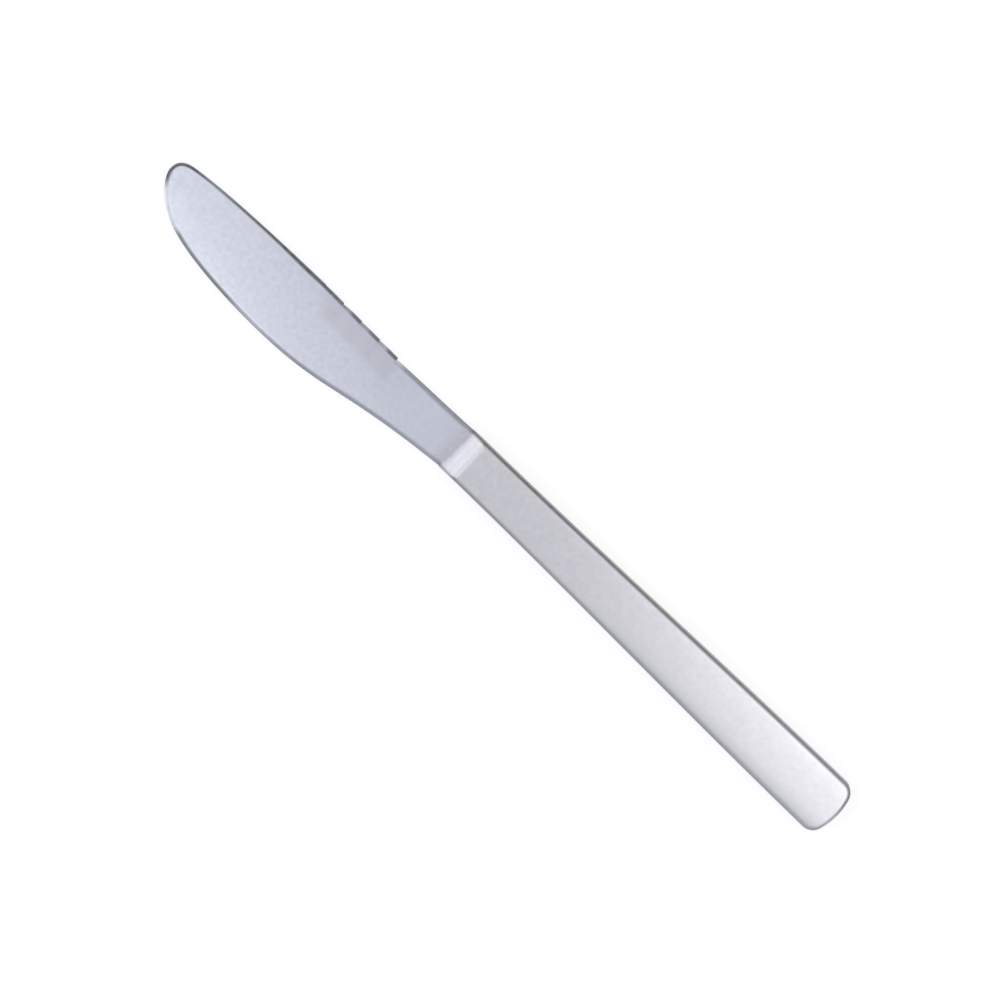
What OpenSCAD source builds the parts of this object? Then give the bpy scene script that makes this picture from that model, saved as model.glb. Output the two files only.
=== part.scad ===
// Table knife with a forged blade and a hollow handle.
// The handle is two pressed half shells brazed along their edges, with the
// blade's tang cemented inside and the blade brazed into the handle's mouth.
// The knife lies flat: its tip points along +X, its cutting edge faces -Y and
// the lower flat face of the handle rests at the height of the origin.

/* [Handle] */
// Length of the handle, from its mouth to its rounded end
handle_l = 125.3; // [105:0.1:145]
// Width across the mouth, where the blade enters
neck_w = 11.8; // [11:0.1:14]
// Widest width, just before the rounded end
handle_w = 14.7; // [13.5:0.1:17]
// Thickness between the two flat faces
handle_t = 5.6; // [5:0.1:7]
// Radius of the shallow arc across the end
end_r = 17; // [14:0.5:30]
// Radius of the corner between the side and the end
end_corner_r = 3.5; // [3:0.1:5]
// Width of the rolled edge round each flat face
roll_w = 1.3; // [1.1:0.1:2.4]
// Height of the rolled edge
roll_h = 1.1; // [1:0.1:1.5]
// Length of the ramp from the mouth up to the flat face
ramp_l = 5.8; // [4:0.1:8]

/* [Handle shells] */
// Wall of each pressed half shell
shell_wall = 0.7; // [0.5:0.05:0.8]
// Thickness of the front wall that closes the cavity behind the mouth
mouth_l = 1.5; // [1:0.1:2.5]
// Metal left above and below the slot in the mouth
mouth_lip = 0.4; // [0.3:0.05:0.6]
// Thickness of the braze film between the two half shells
seam_film = 0.1; // [0.05:0.01:0.2]
// Thickness of the braze sleeve round the tang in the mouth
sleeve_film = 0.1; // [0.05:0.01:0.2]

/* [Blade outline] */
// Length of the blade in front of the handle
blade_l = 94.7; // [85:0.1:105]
// Reach of the rounded belly from the handle's centre line
belly_reach = 12.77; // [11.5:0.01:14]
// Distance from the mouth to the widest place of the belly
belly_at = 54; // [48:0.5:60]
// Length of the rounded nose
nose_l = 6.7; // [5:0.1:9]
// Reach of the belly where the nose begins
nose_belly_reach = 7.5; // [6.5:0.01:9]
// Reach of the cutting edge where the nose begins
nose_edge_reach = 4.95; // [4.3:0.01:5.5]
// Reach of the foremost point towards the cutting edge
nose_reach = 0.6; // [0:0.1:2]
// Reach of the cutting edge where the teeth begin
edge_reach = 6.43; // [5.9:0.01:7]
// Reach of the toothed edge at its heel
heel_reach = 5.76; // [5.6:0.01:6.2]
// Reach of the unground edge just behind the heel
choil_reach = 5.28; // [4.8:0.01:5.5]

/* [Teeth] */
// Distance from the mouth to the heel, where the last tooth ends
heel_at = 24.6; // [20:0.1:30]
// Number of teeth
tooth_n = 4; // [2:1:5]
// Length of one tooth
tooth_pitch = 6.07; // [4.5:0.01:6.5]
// Length of the crest of each tooth
tooth_crest_l = 2.7; // [1.5:0.1:3.5]
// Depth of the step behind each crest
tooth_depth = 0.3; // [0.1:0.01:0.45]
// Length along the edge in which a step falls
step_l = 0.12; // [0.05:0.01:0.3]

/* [Blade thickness] */
// Thickness of the spine at the mouth
root_t = 2.2; // [2:0.05:2.6]
// Thickness of the spine at the widest place of the belly
belly_t = 1.8; // [1.5:0.05:2.1]
// Thickness of the blank's spine line at the tip
nose_t = 1.3; // [1.1:0.05:1.6]
// Thickness just behind the ground edge
edge_t = 1; // [0.7:0.05:1.1]
// Thickness left at the very edge
land_t = 0.2; // [0.1:0.01:0.3]
// Width of the ground bevel where the plain edge begins, and at the foremost point
bevel_w = 0.95; // [0.8:0.05:1.2]
// Width of the ground bevel where the nose begins
tip_bevel_w = 0.6; // [0.4:0.05:0.8]
// Length in which the bevel narrows beyond the teeth
bevel_fade_l = 20; // [10:1:35]
// Width of the ground bevel along the teeth
tooth_bevel_w = 0.8; // [0.6:0.05:1]
// Width of the eased corners along the spine
ease_w = 1.4; // [0.9:0.05:1.6]
// Height of the eased corners along the spine
ease_h = 0.6; // [0.3:0.05:0.7]
// Length of the shallow groove across the blade in front of the mouth
groove_l = 2.9; // [1.5:0.1:4]
// Depth of that groove at the mouth
groove_d = 0.1; // [0.05:0.01:0.15]
// Depth by which each face falls towards the spine near the tip
tip_fall = 0.16; // [0.05:0.01:0.2]
// Width of that fall beside the spine
tip_fall_w = 7; // [5:0.5:9]
// Length in which it grows up to the nose
tip_fall_l = 43; // [30:1:55]

/* [Tang] */
// Length of the tang inside the handle
tang_l = 46; // [35:0.5:70]
// Width of the tang
tang_w = 6.4; // [5:0.1:8]
// Length of the wide shoulder that fills the mouth
shoulder_l = 4; // [3:0.1:6]
// Metal of the shells on each side of the shoulder
shoulder_inset = 1.15; // [1:0.05:1.6]
// Step down from the blade's face to the shoulder
shoulder_step = 0.05; // [0.02:0.01:0.1]
// Diameter of the keying notches along both edges of the tang
notch_d = 2; // [1:0.1:2.6]
// Number of notches along each edge
notch_n = 3; // [1:1:4]
// Distance between the notches
notch_pitch = 8; // [5:0.5:9]
// Diameter of the keying hole near the tang's end
key_d = 3.2; // [2:0.1:4]

/* [Hidden] */

// Overrun of every cut past the face that it opens
cut_over = 0.5;
// Length by which the shoulder runs into the blade that it is one piece with
root_over = 0.8;
// Colours of the satin steel, the braze and the cement
blade_colour = [0.78, 0.79, 0.82];
shell_colour = [0.82, 0.82, 0.84];
braze_colour = [0.80, 0.66, 0.42];
cement_colour = [0.62, 0.60, 0.56];

// Steps round the rolled edge, along the ramp, along a side and round the end
roll_n = 5;
ramp_n = 8;
side_n = 12;
corner_n = 8;
end_n = 5;
// Steps along the blade's curves, across its face and round its edges
curve_n = 60;
choil_n = 6;
groove_n = 4;
flank_n = 2;
edge_n = 12;
nose_n = 12;
face_n = 8;
rim_n = 3;
$fn = 48;

// Control points of the handle's side, as shares of its straight run and half widths
side_run_shares = [0.314, 0.677];
neck_waist_share = 0.967;
// Control points of the spine, belly, nose and edge, as shares of the sizes they follow
spine_run_shares = [0.581, 0.589];
spine_rise_share = 0.414;
belly_run_shares = [0.088, 0.759];
belly_fall_share = 0.023;
nose_belly_run_share = 0.97;
nose_belly_fall_share = 0.509;
nose_tangent_share = 0.03;
nose_edge_run_share = 0.373;
nose_edge_rise_share = 0.94;
nose_edge_fall_share = 0.946;
edge_run_shares = [0.157, 0.744];
edge_fall_share = 0.159;
choil_run_shares = [0.325, 0.691];
choil_fall_shares = [0.536, 0.435];
// Depth of each tooth's flank, the first at the heel, as shares of the tooth depth
flank_depth_shares = [0.7, 0.7, 1, 0.4, 0.4];
// Bend of a flank, and of the bulging face between spine and edge
flank_power = 1.5;
bulge_power = 1.8;
// Largest share of the local half thickness that an eased corner takes
ease_share = 0.8;
// Share of the nose's belly side that the ground bevel leaves alone
nose_blunt_share = 0.5;

handle_top = handle_t / 2;
neck_half = neck_w / 2;
handle_half = handle_w / 2;
side_top = handle_top - roll_h;
nose_at = blade_l - nose_l;
teeth_end = heel_at + tooth_n * tooth_pitch;
flank_l = tooth_pitch - tooth_crest_l - step_l;
tang_t = root_t - 2 * (groove_d + shoulder_step);
shoulder_w = neck_w - 2 * shoulder_inset;
slot_w = shoulder_w + 2 * sleeve_film;
slot_t = tang_t + 2 * sleeve_film;
foot_top = slot_t / 2 + mouth_lip;
key_at = tang_l - tang_w;

function mix(a, b, t) = a + (b - a) * t;
function clamp01(t) = max(0, min(1, t));
function ease01(t) = (1 - cos(180 * clamp01(t))) / 2;
function bezier(p, t) =
    pow(1 - t, 3) * p[0] + 3 * pow(1 - t, 2) * t * p[1]
    + 3 * (1 - t) * pow(t, 2) * p[2] + pow(t, 3) * p[3];
function curve(p, n) = [for (i = [0:n]) bezier(p, i / n)];
function around(centre, r, angle) = centre + r * [cos(angle), sin(angle)];
function quarter_turned(v) = [v[1], -v[0]] / norm(v);
function reversed(row) = [for (i = [len(row) - 1:-1:0]) row[i]];
function mirrored_y(row) = [for (p = row) [p[0], -p[1], p[2]]];
function mirrored_z(row) = [for (p = row) [p[0], p[1], -p[2]]];

// A surface is a list of rows. Every row runs from the -Y rim over the top to the
// +Y rim, and the last row is folded at a rim's depth of points, where it closes.
function row_end(rows) = len(rows[0]) - 1;
function folded(rows, rim) = concat(
    [for (i = [0:len(rows) - 2]) each rows[i]],
    [for (k = [0:rim]) rows[len(rows) - 1][k]]
);
function at(rows, rim, i, j) =
    i < len(rows) - 1
    ? i * (row_end(rows) + 1) + j
    : i * (row_end(rows) + 1) + min(j, row_end(rows) - j, rim);
function quad(a, b, c, d) = [
    for (t = [[a, b, c], [a, c, d]])
        if (t[0] != t[1] && t[1] != t[2] && t[2] != t[0]) t
];
function skin(rows, rim) = [
    for (i = [0:len(rows) - 2], j = [0:row_end(rows) - 1])
        each quad(
            at(rows, rim, i, j), at(rows, rim, i, j + 1),
            at(rows, rim, i + 1, j + 1), at(rows, rim, i + 1, j)
        )
];
function turned_over(faces, shift) = [for (f = faces) [f[2] + shift, f[1] + shift, f[0] + shift]];

// Solid between a surface and its own mirror image below
module mirrored_solid(rows, rim) {
    top = folded(rows, rim);
    below = len(top);
    j_end = row_end(rows);
    polyhedron(
        points = concat(top, mirrored_z(top)),
        faces = concat(
            skin(rows, rim),
            turned_over(skin(rows, rim), below),
            [for (i = [0:len(rows) - 2])
                let (a = at(rows, rim, i, 0), b = at(rows, rim, i + 1, 0))
                    each quad(a, b, b + below, a + below)],
            [for (i = [0:len(rows) - 2])
                let (a = at(rows, rim, i + 1, j_end), b = at(rows, rim, i, j_end))
                    each quad(a, b, b + below, a + below)],
            [for (j = [0:j_end - 1]) each quad(j + 1, j, j + below, j + 1 + below)]
        ),
        convexity = 6
    );
}

// Shell between an outer and an inner surface, open downwards, with a front wall
module shell_solid(outer, inner, rim) {
    outside = folded(outer, rim);
    shift = len(outside);
    j_end = row_end(outer);
    polyhedron(
        points = concat(outside, folded(inner, rim)),
        faces = concat(
            skin(outer, rim),
            turned_over(skin(inner, rim), shift),
            [for (i = [0:len(outer) - 2])
                let (a = at(outer, rim, i, 0), b = at(outer, rim, i + 1, 0))
                    each quad(a, b, b + shift, a + shift)],
            [for (i = [0:len(outer) - 2])
                let (a = at(outer, rim, i + 1, j_end), b = at(outer, rim, i, j_end))
                    each quad(a, b, b + shift, a + shift)],
            [for (j = [0:j_end - 2]) [j_end, j + 1, j]],
            [for (j = [0:j_end - 2]) [j_end + shift, j + shift, j + 1 + shift]],
            quad(j_end, 0, shift, j_end + shift)
        ),
        convexity = 6
    );
}

// Handle outline, as distance from the mouth and half width
corner_centre = [
    handle_l - end_r + sqrt(pow(end_r - end_corner_r, 2) - pow(handle_half - end_corner_r, 2)),
    handle_half - end_corner_r
];
end_centre = [handle_l - end_r, 0];
end_turn = atan2(corner_centre[1], corner_centre[0] - end_centre[0]);
side_run = corner_centre[0];
side_table = curve([
    [0, neck_half],
    [side_run_shares[0] * side_run, neck_waist_share * neck_half],
    [side_run_shares[1] * side_run, handle_half],
    [side_run, handle_half]
], curve_n);
side_places = concat(
    [for (i = [0:ramp_n]) ramp_l * i / ramp_n],
    [for (i = [1:side_n]) mix(ramp_l, side_run, i / side_n)]
);
// The outline starts at front, and its rounded end stays where it is
function handle_outline(front) = concat(
    [for (place = side_places)
        let (x = mix(front, side_run, place / side_run)) [x, lookup(x, side_table)]],
    [for (i = [1:corner_n])
        around(corner_centre, end_corner_r, mix(90, end_turn, i / corner_n))],
    [for (i = [1:end_n]) around(end_centre, end_r, mix(end_turn, 0, i / end_n))]
);
function handle_inward(outline, i) =
    i == 0 ? [0, -1]
    : i == len(outline) - 1 ? [-1, 0]
    : quarter_turned(outline[i + 1] - outline[i - 1]);
function handle_inset(outline, i, d) = outline[i] + handle_inward(outline, i) * d;
function ramp_rise(t) = t - sin(360 * t) / (2 * PI);
function ramp_top(x) = mix(foot_top, handle_top, ramp_rise(clamp01(x / ramp_l)));

// Rolled edge and flat face, drawn in by a wall, from the seam's height if it is given
function handle_side(outline, i, wall, seam_z) =
    let (
        rolled = [for (k = [0:roll_n])
            let (
                d = wall + (roll_w - wall) * (1 - cos(90 * k / roll_n)),
                z = side_top + (roll_h - wall) * sin(90 * k / roll_n),
                p = handle_inset(outline, i, d)
            )
            [p[0], p[1], min(z, ramp_top(p[0]) - wall)]]
    )
    seam_z == undef ? rolled : concat([[rolled[0][0], rolled[0][1], seam_z]], rolled);
function handle_rows(wall, front, seam_z) =
    let (outline = handle_outline(front))
    [for (i = [0:len(outline) - 1])
        let (side = handle_side(outline, i, wall, seam_z)) concat(mirrored_y(side), reversed(side))];
function handle_polygon(wall, front) =
    let (
        outline = handle_outline(front),
        side = [for (i = [0:len(outline) - 1]) handle_inset(outline, i, wall)]
    )
    concat(side, [for (i = [len(side) - 2:-1:0]) [side[i][0], -side[i][1]]]);

// Blade outline, as reach from the centre line on its spine side and edge side
spine_points = [
    [0, neck_half],
    [spine_run_shares[0] * belly_at, mix(neck_half, belly_reach, spine_rise_share)],
    [spine_run_shares[1] * belly_at, belly_reach],
    [belly_at, belly_reach]
];
belly_points = [
    [belly_at, belly_reach],
    [mix(belly_at, nose_at, belly_run_shares[0]), belly_reach],
    [mix(belly_at, nose_at, belly_run_shares[1]), mix(belly_reach, nose_belly_reach, belly_fall_share)],
    [nose_at, nose_belly_reach]
];
nose_belly_points = [
    [nose_at, nose_belly_reach],
    [mix(nose_at, blade_l, nose_belly_run_share), mix(nose_belly_reach, -nose_reach, nose_belly_fall_share)],
    [blade_l, mix(-nose_reach, nose_belly_reach, nose_tangent_share)],
    [blade_l, -nose_reach]
];
nose_edge_points = [
    [nose_at, -nose_edge_reach],
    [mix(nose_at, blade_l, nose_edge_run_share), -nose_edge_reach * nose_edge_rise_share],
    [blade_l, -mix(nose_reach, nose_edge_reach, nose_edge_fall_share)],
    [blade_l, -nose_reach]
];
edge_points = [
    [teeth_end, edge_reach],
    [mix(teeth_end, nose_at, edge_run_shares[0]), edge_reach],
    [mix(teeth_end, nose_at, edge_run_shares[1]), mix(edge_reach, nose_edge_reach, edge_fall_share)],
    [nose_at, nose_edge_reach]
];
choil_points = [
    [0, neck_half],
    [choil_run_shares[0] * heel_at, mix(neck_half, choil_reach, choil_fall_shares[0])],
    [choil_run_shares[1] * heel_at, mix(neck_half, choil_reach, choil_fall_shares[1])],
    [heel_at, choil_reach]
];
spine_table = concat(curve(spine_points, curve_n), curve(belly_points, curve_n));
edge_table = curve(edge_points, curve_n);
choil_table = curve(choil_points, curve_n);
function tooth_line(x) = mix(heel_reach, edge_reach, (x - heel_at) / (teeth_end - heel_at));
function bevel_at(x) = mix(bevel_w, tip_bevel_w, ease01((x - teeth_end) / bevel_fade_l));

// Stations along the cutting edge: x, y, depth of cut, width of bevel, share that is ground
blunt_stations = [
    for (x = concat(
        [for (i = [0:groove_n]) groove_l * i / groove_n],
        [for (i = [1:choil_n]) mix(groove_l, heel_at - step_l, i / choil_n)]
    ))
        [x, -lookup(x, choil_table), 0, tooth_bevel_w, 0]
];
tooth_stations = [
    for (tooth = [0:tooth_n - 1])
        let (
            from = heel_at + tooth * tooth_pitch,
            crest_end = from + tooth_crest_l,
            deepest = tooth_depth * flank_depth_shares[tooth]
        )
        each concat(
            [[from, -tooth_line(from), 0, tooth_bevel_w, 1]],
            [for (i = [0:flank_n + 1])
                let (share = i / (flank_n + 1), x = crest_end + flank_l * share)
                [x, -tooth_line(x), deepest * pow(share, flank_power), tooth_bevel_w, 1]]
        )
];
edge_stations = [
    for (i = [0:edge_n])
        let (x = mix(teeth_end, nose_at, i / edge_n))
        [x, -lookup(x, edge_table), 0, i == 0 ? tooth_bevel_w : bevel_at(x), 1]
];
nose_stations = [
    for (i = [1:nose_n])
        let (p = bezier(nose_edge_points, i / nose_n))
        [p[0], p[1], 0, mix(tip_bevel_w, bevel_w, i / nose_n), 1]
];
stations = concat(blunt_stations, tooth_stations, edge_stations, nose_stations);
nose_first = len(stations) - nose_n;
plain_first = nose_first - edge_n;
edge_rim = [for (s = stations) [s[0], s[1]]];
spine_rim = concat(
    [for (i = [0:nose_first - 1]) [stations[i][0], lookup(stations[i][0], spine_table)]],
    [for (i = [1:nose_n]) bezier(nose_belly_points, i / nose_n)]
);
function edge_inward(i) =
    i < plain_first ? [0, 1]
    : i == len(edge_rim) - 1 ? [-1, 0]
    : -quarter_turned(edge_rim[i + 1] - edge_rim[i - 1]);
function spine_inward(i) =
    i == 0 ? [0, -1]
    : i == len(spine_rim) - 1 ? [-1, 0]
    : quarter_turned(spine_rim[i + 1] - spine_rim[i - 1]);
function spine_ground(i) =
    ease01(((i - nose_first + 1) / nose_n - nose_blunt_share) / (1 - nose_blunt_share));

// Half thickness of the blade at any place of its face
function edge_line(x) =
    x < heel_at ? lookup(x, choil_table)
    : x < teeth_end ? tooth_line(x)
    : lookup(x, edge_table);
function spine_line(x) = x < belly_at ? lookup(x, spine_table) : belly_reach;
function spine_half(x) =
    x < belly_at
    ? mix(root_t, belly_t, x / belly_at) / 2
    : mix(belly_t, nose_t, (x - belly_at) / (blade_l - belly_at)) / 2;
function edge_half(x) = mix(root_t, edge_t, ease01(x / heel_at)) / 2;
function groove_at(x) = groove_d * pow(1 - clamp01(x / groove_l), 2);
function wedge_line(x) = x < heel_at ? mix(neck_half, heel_reach, x / heel_at) : edge_line(x);
function tip_fall_at(p) =
    tip_fall * ease01((p[0] - nose_at) / tip_fall_l + 1)
    * pow(clamp01(1 - (lookup(p[0], spine_table) - p[1]) / tip_fall_w), 2);
function face_half(p) =
    let (across = clamp01((p[1] + wedge_line(p[0])) / (spine_line(p[0]) + wedge_line(p[0]))))
    mix(edge_half(p[0]), spine_half(p[0]), 1 - pow(1 - across, bulge_power))
    - groove_at(p[0]) - tip_fall_at(p);

// Points from the rim inwards: an eased corner, or a ground bevel where the edge is sharp
function rim_points(rim_point, inwards, cut, bevel, ground) =
    let (
        h = min(ease_h, ease_share * face_half(rim_point)),
        full = face_half(rim_point + inwards * mix(ease_w, bevel, ground))
    )
    [for (k = [0:rim_n])
        let (
            share = k / rim_n,
            d = mix(ease_w * (1 - cos(90 * share)), mix(cut, bevel, share), ground),
            z = mix(full - h * (1 - sin(90 * share)), mix(land_t / 2, full, share), ground),
            p = rim_point + inwards * d
        )
        [p[0], p[1], z]];
function blade_row(i) =
    let (
        s = stations[i],
        edge_side = rim_points(edge_rim[i], edge_inward(i), s[2], s[3], s[4]),
        spine_side = rim_points(spine_rim[i], spine_inward(i), 0, bevel_w, spine_ground(i)),
        a = edge_side[rim_n],
        b = spine_side[rim_n],
        across = [for (m = [1:face_n - 1])
            let (p = mix([a[0], a[1]], [b[0], b[1]], m / face_n)) [p[0], p[1], face_half(p)]]
    )
    concat(edge_side, across, reversed(spine_side));

// The knife's frame has its origin below the middle of its outline
module placed() {
    translate([
        (handle_l - blade_l) / 2,
        (max(handle_half, edge_reach) - belly_reach) / 2,
        handle_top
    ])
        children();
}

// The handle is drawn from its mouth backwards
module backwards() {
    rotate([0, 0, 180]) children();
}

module shoulder_box(length, width, thickness) {
    translate([-length, -width / 2, -thickness / 2]) cube([length, width, thickness]);
}

module tang() {
    translate([root_over, 0, 0]) shoulder_box(shoulder_l + root_over, shoulder_w, tang_t);
    difference() {
        union() {
            shoulder_box(tang_l - tang_w / 2, tang_w, tang_t);
            translate([tang_w / 2 - tang_l, 0, 0]) cylinder(d = tang_w, h = tang_t, center = true);
        }
        for (i = [1:notch_n], side = [-1, 1])
            translate([-shoulder_l - i * notch_pitch, side * tang_w / 2, 0])
                cylinder(d = notch_d, h = tang_t + cut_over, center = true);
        translate([-key_at, 0, 0]) cylinder(d = key_d, h = tang_t + cut_over, center = true);
    }
}

module mouth_slot() {
    translate([cut_over, 0, 0]) shoulder_box(mouth_l + 2 * cut_over, slot_w, slot_t);
}

module blade() {
    color(blade_colour) placed() union() {
        mirrored_solid([for (i = [0:len(stations) - 1]) blade_row(i)], rim_n);
        tang();
    }
}

module half_shell() {
    difference() {
        backwards() shell_solid(
            handle_rows(0, 0, seam_film / 2),
            handle_rows(shell_wall, mouth_l, seam_film / 2),
            roll_n + 1
        );
        mouth_slot();
    }
}

module handle_shell_upper() {
    color(shell_colour) placed() half_shell();
}

module handle_shell_lower() {
    color(shell_colour) placed() mirror([0, 0, 1]) half_shell();
}

module seam_braze() {
    color(braze_colour) placed() difference() {
        backwards() linear_extrude(height = seam_film, center = true) difference() {
            polygon(handle_polygon(0, 0));
            polygon(handle_polygon(shell_wall, mouth_l));
        }
        mouth_slot();
    }
}

module neck_braze() {
    color(braze_colour) placed() difference() {
        shoulder_box(mouth_l, slot_w, slot_t);
        tang();
    }
}

module handle_cement() {
    color(cement_colour) placed() difference() {
        backwards() mirrored_solid(handle_rows(shell_wall, mouth_l, undef), roll_n);
        tang();
    }
}

blade();
handle_shell_upper();
handle_shell_lower();
seam_braze();
neck_braze();
handle_cement();
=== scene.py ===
"""Table knife in satin steel, lying on a white table under soft studio light.

The blade and both halves of the hollow handle are built here as fine meshes in the
places of their solids. All shapes are worked out in millimetres from the middle of the
handle's mouth: x towards the blade's tip, y towards its rounded spine side, z up. The
handle's rows are worked out by their distance from the mouth, which is -x.
"""

import math

import bmesh
import bpy
import numpy as np
from mathutils import Matrix, Vector


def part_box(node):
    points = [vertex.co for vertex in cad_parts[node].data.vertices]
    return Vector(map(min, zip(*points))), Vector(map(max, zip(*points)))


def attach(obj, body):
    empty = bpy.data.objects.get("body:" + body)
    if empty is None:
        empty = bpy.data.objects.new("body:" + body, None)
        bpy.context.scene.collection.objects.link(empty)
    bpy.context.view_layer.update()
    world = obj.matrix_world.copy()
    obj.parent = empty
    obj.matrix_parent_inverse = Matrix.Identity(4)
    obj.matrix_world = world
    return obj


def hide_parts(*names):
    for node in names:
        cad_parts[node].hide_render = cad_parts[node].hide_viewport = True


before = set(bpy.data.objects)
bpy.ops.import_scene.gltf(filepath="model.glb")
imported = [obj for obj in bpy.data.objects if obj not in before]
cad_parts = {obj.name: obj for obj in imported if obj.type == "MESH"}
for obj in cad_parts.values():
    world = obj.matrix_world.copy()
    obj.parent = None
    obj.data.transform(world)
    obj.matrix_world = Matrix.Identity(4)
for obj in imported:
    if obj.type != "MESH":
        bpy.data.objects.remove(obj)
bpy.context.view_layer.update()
MM = 0.001

# Places and overall sizes, read from the solids
upper_low, upper_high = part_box("handle_shell_upper")
lower_low, lower_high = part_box("handle_shell_lower")
blade_low, blade_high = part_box("blade")
AXIS_Y = (upper_low.y + upper_high.y) / 2
MOUTH = Vector((upper_high.x, AXIS_Y, (lower_low.z + upper_high.z) / 2))
HANDLE_L = (upper_high.x - upper_low.x) / MM
HANDLE_W = (upper_high.y - upper_low.y) / MM
HANDLE_T = (upper_high.z - lower_low.z) / MM
SEAM_HALF = (upper_low.z - lower_high.z) / MM / 2
BLADE_L = (blade_high.x - MOUTH.x) / MM
BELLY_REACH = (blade_high.y - MOUTH.y) / MM

# Handle, in millimetres, and the shares that place its side's curve
NECK_W = 11.8
END_R = 17.0
END_CORNER_R = 3.5
ROLL_W = 1.3
ROLL_H = 1.1
RAMP_L = 5.8
SHELL_WALL = 0.7
MOUTH_L = 1.5
MOUTH_LIP = 0.4
SLEEVE_FILM = 0.1
SEAM_EASE = 0.05
CREST_BLEND = 0.12
SIDE_RUN_SHARES = (0.314, 0.677)
NECK_WAIST_SHARE = 0.967

# Crown of the handle's faces: its fall in millimetres, its power, and where it grows to the full
FACE_CROWN = 0.2
CROWN_POWER = 2.5
ROOT_CROWN_SHARE = 0.4
CROWN_FROM = 15.0
CROWN_FADE = 50.0

# Blade outline, in millimetres, and the shares that place its curves
BELLY_AT = 54.0
NOSE_L = 6.7
NOSE_BELLY_REACH = 7.5
NOSE_EDGE_REACH = 4.95
NOSE_REACH = 0.6
EDGE_REACH = 6.43
HEEL_REACH = 5.76
CHOIL_REACH = 5.28
SPINE_RUN_SHARES = (0.581, 0.589)
SPINE_RISE_SHARE = 0.414
BELLY_RUN_SHARES = (0.088, 0.759)
BELLY_FALL_SHARE = 0.023
NOSE_BELLY_RUN_SHARE = 0.97
NOSE_BELLY_FALL_SHARE = 0.509
NOSE_TANGENT_SHARE = 0.03
NOSE_EDGE_RUN_SHARE = 0.373
NOSE_EDGE_RISE_SHARE = 0.94
NOSE_EDGE_FALL_SHARE = 0.946
EDGE_RUN_SHARES = (0.157, 0.744)
EDGE_FALL_SHARE = 0.159
CHOIL_RUN_SHARES = (0.325, 0.691)
CHOIL_FALL_SHARES = (0.536, 0.435)

# Teeth, in millimetres, and the shares and power of their flanks
HEEL_AT = 24.6
TOOTH_N = 4
TOOTH_PITCH = 6.07
TOOTH_CREST_L = 2.7
TOOTH_DEPTH = 0.3
STEP_L = 0.12
FLANK_DEPTH_SHARES = (0.7, 0.7, 1.0, 0.4)
FLANK_POWER = 1.5

# Blade thickness, in millimetres, and the shares and power that shape it
ROOT_T = 2.2
BELLY_T = 1.8
NOSE_T = 1.3
EDGE_T = 1.0
LAND_T = 0.2
BEVEL_W = 0.95
TIP_BEVEL_W = 0.6
BEVEL_FADE_L = 20.0
TOOTH_BEVEL_W = 0.8
EASE_W = 1.4
EASE_H = 0.6
EASE_SHARE = 0.8
GROOVE_L = 2.9
GROOVE_D = 0.1
TIP_FALL = 0.16
TIP_FALL_W = 7.0
TIP_FALL_L = 43.0
BULGE_POWER = 1.8
NOSE_BLUNT_SHARE = 0.5

# Shallow hollow that the grinding of the teeth leaves beside them, in millimetres
GRIND_FROM = 21.5
GRIND_TO = 49.0
GRIND_W = 7.2
GRIND_LEAN = 0.5
GRIND_D = 0.012
GRIND_FADE = 2.6

# Tang, in millimetres
TANG_L = 46.0
TANG_W = 6.4
SHOULDER_L = 4.0
SHOULDER_INSET = 1.15
SHOULDER_STEP = 0.05
NOTCH_D = 2.0
NOTCH_N = 3
NOTCH_PITCH = 8.0
KEY_D = 3.2
ROOT_OVER = 0.8

# Wear on the ridges, as places and width on the way over an edge, from 0 at the side to 1 at the face
SHELL_RIDGE_AT = 0.75
BLADE_RIDGE_AT = 0.8
RIDGE_W = 0.15

# Painted shade on the rims of the handle, dark side walls standing for the dark room that they reflect:
# where it fades on the way over the rolled edge, how dark it is at the mouth and at the end, and what
# the round end multiplies it by
EDGE_RIM_FROM = 0.38
EDGE_RIM_FADE = 0.52
EDGE_RIM_SHADES = (1.0, 0.75)
EDGE_ROUND_END = 0.6
SPINE_RIM_FROM = 0.5
SPINE_RIM_FADE = 0.45
SPINE_RIM_SHADES = (0.56, 0.1)
SPINE_ROUND_END = 2.5

# Painted shade on the handle: its face towards the spine side, and the ramp's foot and crest
FACE_SHADE = 0.65
FACE_SHADE_SHARE = 0.4
FACE_SHADE_FROM = 35
FACE_SHADE_FADE = 40
RAMP_FOOT_SHADE_L = 2.4
RAMP_CREST_SHADE = 0.5
RAMP_CREST_AT = 4.4
RAMP_CREST_W = 0.6

# Painted shade on the rims of the blade: pairs of places and shades, and fades in millimetres or as
# shares
EASED_RIM_FROM = 0.62
EASED_RIM_FADE = 0.32
BEVEL_SHADES = ((0, 0.35, 0.8, 1), (0.5, 1, 1, 0.75))
CHOIL_SHADE = 0.6
CHOIL_FADE = 4.0
CREST_SHADE = 0.88
FLANK_SHADES = (0.35, 0.5, 0.5, 1.0)
FLANK_SHADE_FROM = 0.4
FLANK_SHADE_FADE = 0.25
EDGE_SHADES = ((48, 60, 68, 80, 85, 90), (1.0, 1.0, 0.9, 0.75, 0.65, 0.95))
SPINE_SHADES = ((4, 40, 48, 54, 60, 64, 82.5, 84.5), (0.3, 0.42, 0.3, 0.1, 0.25, 0.65, 0.7, 0.02))
NOSE_SHADE = 0.03
NOSE_FADE_FROM = 1.2
NOSE_FADE = 3.4

# Duller and darker places of the blade: a duller finish in the ground hollow, painted shade in the
# groove at the mouth, and darker towards the root
SCALLOP = 0.15
GROOVE_SHADE = 2.0
ROOT_DARKENING = 0.35
ROOT_DARKENING_TO = 32.0
ROOT_DARKENING_FADE = 14.0
ROOT_DARKENING_SPREAD = 1.5

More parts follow.
